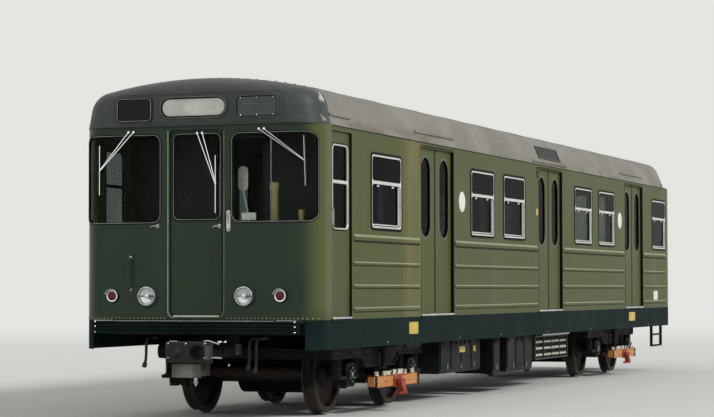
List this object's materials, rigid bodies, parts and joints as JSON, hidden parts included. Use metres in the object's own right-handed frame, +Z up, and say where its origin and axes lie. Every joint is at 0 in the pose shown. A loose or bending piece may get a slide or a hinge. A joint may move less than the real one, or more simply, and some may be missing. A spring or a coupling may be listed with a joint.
{
  "type": "metro car",
  "caption": "Driving motor car of a metro train: rounded cab end, sliding double doors in wall pockets, hinged cab and end doors, turning bogies with wheelsets and couplers.",
  "frame": {"origin": "on the ground under the middle of the car, between the couplers; the wheel flanges touch the ground", "axes": "+X towards the cab end, +Y to the left of the car, +Z up"},
  "size_m": [17.62, 2.8198, 3.7731],
  "materials": {
    "side_paint": "olive green car paint with brown streaks",
    "end_paint": "dark green car paint",
    "skirt_paint": "dark blue green paint, worn",
    "roof_paint": "pale grey roof paint, weathered",
    "dome_paint": "dark grey green paint",
    "bare_aluminium": "satin anodised",
    "window_glass": "clear, slightly dusty",
    "lamp_chrome": "polished",
    "display_black": "dark glass panel",
    "handle_paint": "worn paint",
    "interior_panel": "laminate panel",
    "floor_covering": "scuffed sheet flooring",
    "seat_cover": "worn green seat cover",
    "polished_steel": "polished by use",
    "underframe_paint": "black paint under brake dust",
    "beam_timber": "varnished timber beam, dusty",
    "wheel_steel": "rusty wheel with a bright tread",
    "coupler_steel": "greasy cast steel"
  },
  "bodies": {
    "car_body": {"access_steps": "underframe_paint", "buffer_beams": "skirt_paint", "cab_front": "end_paint", "cab_partition": "interior_panel", "display_panels": "display_black", "door_headers": "side_paint", "door_sills": "bare_aluminium", "drivers_desk": "interior_panel", "equipment_cases": "underframe_paint", "floor": "floor_covering", "front_dome": "dome_paint", "grab_handles": "handle_paint", "grab_poles": "polished_steel", "lamps": "lamp_chrome", "left_side_wall": "side_paint", "rear_end_wall": "end_paint", "resistor_bank": "bare_aluminium", "right_side_wall": "side_paint", "roof": "roof_paint", "roof_fittings": "roof_paint", "seats": "seat_cover", "side_skirts": "skirt_paint", "underframe": "underframe_paint", "window_frames": "bare_aluminium", "window_glass": "window_glass", "windscreens": "window_glass", "wipers": "lamp_chrome"},
    "front_bogie_front_wheelset": {"front_bogie_front_wheelset": "wheel_steel"},
    "front_bogie_rear_wheelset": {"front_bogie_rear_wheelset": "wheel_steel"},
    "left_door_1_front_leaf": {"left_door_1_front_leaf": "side_paint"},
    "left_door_1_rear_leaf": {"left_door_1_rear_leaf": "side_paint"},
    "left_door_2_front_leaf": {"left_door_2_front_leaf": "side_paint"},
    "left_door_2_rear_leaf": {"left_door_2_rear_leaf": "side_paint"},
    "left_door_3_front_leaf": {"left_door_3_front_leaf": "side_paint"},
    "left_door_3_rear_leaf": {"left_door_3_rear_leaf": "side_paint"},
    "rear_bogie_front_wheelset": {"rear_bogie_front_wheelset": "wheel_steel"},
    "rear_bogie_rear_wheelset": {"rear_bogie_rear_wheelset": "wheel_steel"},
    "right_door_1_front_leaf": {"right_door_1_front_leaf": "side_paint"},
    "right_door_1_rear_leaf": {"right_door_1_rear_leaf": "side_paint"},
    "right_door_2_front_leaf": {"right_door_2_front_leaf": "side_paint"},
    "right_door_2_rear_leaf": {"right_door_2_rear_leaf": "side_paint"},
    "right_door_3_front_leaf": {"right_door_3_front_leaf": "side_paint"},
    "right_door_3_rear_leaf": {"right_door_3_rear_leaf": "side_paint"},
    "left_cab_door": {"left_cab_door": "side_paint"},
    "right_cab_door": {"right_cab_door": "side_paint"},
    "rear_end_door": {"rear_end_door": "end_paint"},
    "partition_door": {"partition_door": "interior_panel"},
    "front_coupler": {"front_coupler": "coupler_steel"},
    "rear_coupler": {"rear_coupler": "coupler_steel"},
    "front_end_door": {"front_end_door": "end_paint", "end_door_wiper": "lamp_chrome"},
    "front_bogie": {"front_bogie_frame": "underframe_paint", "front_axleboxes": "underframe_paint", "front_traction_motors": "underframe_paint", "front_collector_gear": "beam_timber"},
    "rear_bogie": {"rear_bogie_frame": "underframe_paint", "rear_axleboxes": "underframe_paint", "rear_traction_motors": "underframe_paint", "rear_collector_gear": "beam_timber"}
  },
  "joints": [
    {"name": "left_door_1_slide", "type": "slide", "parent": "car_body", "child": "left_door_1_front_leaf", "axis": [1, 0, 0], "range_m": [0, 0.6]},
    {"name": "left_door_1_rear_slide", "type": "slide", "parent": "car_body", "child": "left_door_1_rear_leaf", "axis": [-1, 0, 0], "range_m": [0, 0.6]},
    {"name": "left_door_2_slide", "type": "slide", "parent": "car_body", "child": "left_door_2_front_leaf", "axis": [1, 0, 0], "range_m": [0, 0.6]},
    {"name": "left_door_2_rear_slide", "type": "slide", "parent": "car_body", "child": "left_door_2_rear_leaf", "axis": [-1, 0, 0], "range_m": [0, 0.6]},
    {"name": "left_door_3_slide", "type": "slide", "parent": "car_body", "child": "left_door_3_front_leaf", "axis": [1, 0, 0], "range_m": [0, 0.6]},
    {"name": "left_door_3_rear_slide", "type": "slide", "parent": "car_body", "child": "left_door_3_rear_leaf", "axis": [-1, 0, 0], "range_m": [0, 0.6]},
    {"name": "right_door_1_slide", "type": "slide", "parent": "car_body", "child": "right_door_1_front_leaf", "axis": [1, 0, 0], "range_m": [0, 0.6]},
    {"name": "right_door_1_rear_slide", "type": "slide", "parent": "car_body", "child": "right_door_1_rear_leaf", "axis": [-1, 0, 0], "range_m": [0, 0.6]},
    {"name": "right_door_2_slide", "type": "slide", "parent": "car_body", "child": "right_door_2_front_leaf", "axis": [1, 0, 0], "range_m": [0, 0.6]},
    {"name": "right_door_2_rear_slide", "type": "slide", "parent": "car_body", "child": "right_door_2_rear_leaf", "axis": [-1, 0, 0], "range_m": [0, 0.6]},
    {"name": "right_door_3_slide", "type": "slide", "parent": "car_body", "child": "right_door_3_front_leaf", "axis": [1, 0, 0], "range_m": [0, 0.6]},
    {"name": "right_door_3_rear_slide", "type": "slide", "parent": "car_body", "child": "right_door_3_rear_leaf", "axis": [-1, 0, 0], "range_m": [0, 0.6]},
    {"name": "left_cab_door_hinge", "type": "hinge", "parent": "car_body", "child": "left_cab_door", "pos_m": [7.455, 1.335, 2.1], "axis": [0, 0, -1], "range_deg": [0, 90]},
    {"name": "right_cab_door_hinge", "type": "hinge", "parent": "car_body", "child": "right_cab_door", "pos_m": [7.455, -1.335, 2.1], "axis": [0, 0, 1], "range_deg": [0, 90]},
    {"name": "front_end_door_hinge", "type": "hinge", "parent": "car_body", "child": "front_end_door", "pos_m": [8.434, -0.3115, 2.1], "axis": [0, 0, 1], "range_deg": [0, 90]},
    {"name": "rear_end_door_hinge", "type": "hinge", "parent": "car_body", "child": "rear_end_door", "pos_m": [-8.434, 0.3115, 2.1], "axis": [0, 0, 1], "range_deg": [0, 90]},
    {"name": "partition_door_hinge", "type": "hinge", "parent": "car_body", "child": "partition_door", "pos_m": [7.262, 0.3115, 2.1], "axis": [0, 0, -1], "range_deg": [0, 90]},
    {"name": "front_bogie_pivot", "type": "hinge", "parent": "car_body", "child": "front_bogie", "pos_m": [5.64, 0, 0.65], "axis": [0, 0, 1], "range_deg": [-4, 4]},
    {"name": "rear_bogie_pivot", "type": "hinge", "parent": "car_body", "child": "rear_bogie", "pos_m": [-5.64, 0, 0.65], "axis": [0, 0, 1], "range_deg": [-4, 4]},
    {"name": "front_coupler_pivot", "type": "hinge", "parent": "car_body", "child": "front_coupler", "pos_m": [7.5, 0, 0.756], "axis": [0, 0, 1], "range_deg": [-15, 15]},
    {"name": "rear_coupler_pivot", "type": "hinge", "parent": "car_body", "child": "rear_coupler", "pos_m": [-7.5, 0, 0.756], "axis": [0, 0, 1], "range_deg": [-15, 15]},
    {"name": "front_bogie_front_wheelset_axle", "type": "hinge", "parent": "front_bogie", "child": "front_bogie_front_wheelset", "pos_m": [6.69, 0, 0.458], "axis": [0, 1, 0], "continuous": true},
    {"name": "front_bogie_rear_wheelset_axle", "type": "hinge", "parent": "front_bogie", "child": "front_bogie_rear_wheelset", "pos_m": [4.59, 0, 0.458], "axis": [0, 1, 0], "continuous": true},
    {"name": "rear_bogie_front_wheelset_axle", "type": "hinge", "parent": "rear_bogie", "child": "rear_bogie_front_wheelset", "pos_m": [-4.59, 0, 0.458], "axis": [0, 1, 0], "continuous": true},
    {"name": "rear_bogie_rear_wheelset_axle", "type": "hinge", "parent": "rear_bogie", "child": "rear_bogie_rear_wheelset", "pos_m": [-6.69, 0, 0.458], "axis": [0, 1, 0], "continuous": true}
  ],
  "couplings": [
    {"joint": "left_door_1_rear_slide", "follows": "left_door_1_slide", "ratio": 1},
    {"joint": "left_door_2_rear_slide", "follows": "left_door_2_slide", "ratio": 1},
    {"joint": "left_door_3_rear_slide", "follows": "left_door_3_slide", "ratio": 1},
    {"joint": "right_door_1_rear_slide", "follows": "right_door_1_slide", "ratio": 1},
    {"joint": "right_door_2_rear_slide", "follows": "right_door_2_slide", "ratio": 1},
    {"joint": "right_door_3_rear_slide", "follows": "right_door_3_slide", "ratio": 1}
  ]
}
